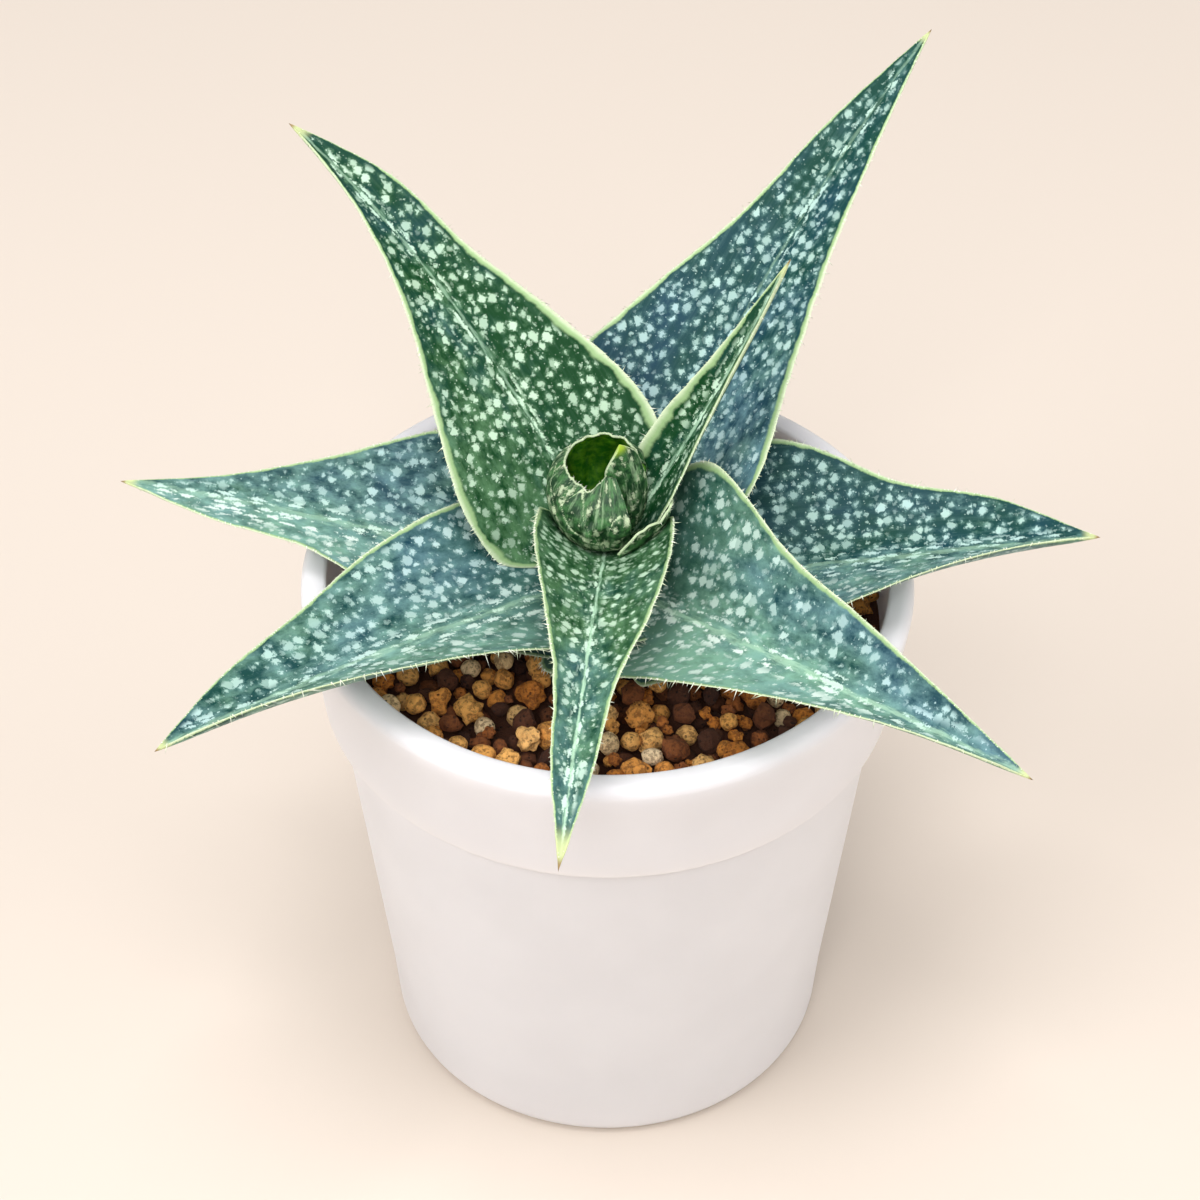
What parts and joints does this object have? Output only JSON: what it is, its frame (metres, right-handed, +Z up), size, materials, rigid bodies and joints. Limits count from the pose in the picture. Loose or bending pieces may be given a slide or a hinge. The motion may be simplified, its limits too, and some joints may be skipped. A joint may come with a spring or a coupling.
{
  "type": "potted snowflake aloe",
  "caption": "Potted snowflake aloe: rosette of channelled, spotted, finely toothed leaves round a short stem, in a white collared plastic pot of gritty mix.",
  "frame": {"origin": "centre of the flat underside of the pot, on the surface that it stands on", "axes": "+Z up along the pot's axis, +X to the right and -Y to the front as the plant is shown"},
  "size_m": [0.1419, 0.1282, 0.1454],
  "materials": {
    "white_plastic": "satin",
    "clay_grit": "matte",
    "stem_skin": "matte",
    "green_leaf": "satin",
    "blue_green_leaf": "satin",
    "young_leaf": "satin"
  },
  "bodies": {
    "root": {"pot": "white_plastic", "soil": "clay_grit", "stem": "stem_skin", "leaf_back_left": "green_leaf", "leaf_front": "green_leaf", "leaf_inner_narrow": "green_leaf", "leaf_back_right": "blue_green_leaf", "leaf_left": "blue_green_leaf", "leaf_right": "blue_green_leaf", "leaf_front_left": "blue_green_leaf", "leaf_front_right": "blue_green_leaf", "bud_rolled_leaf": "young_leaf", "bud_tip_leaf": "young_leaf"}
  },
  "joints": []
}
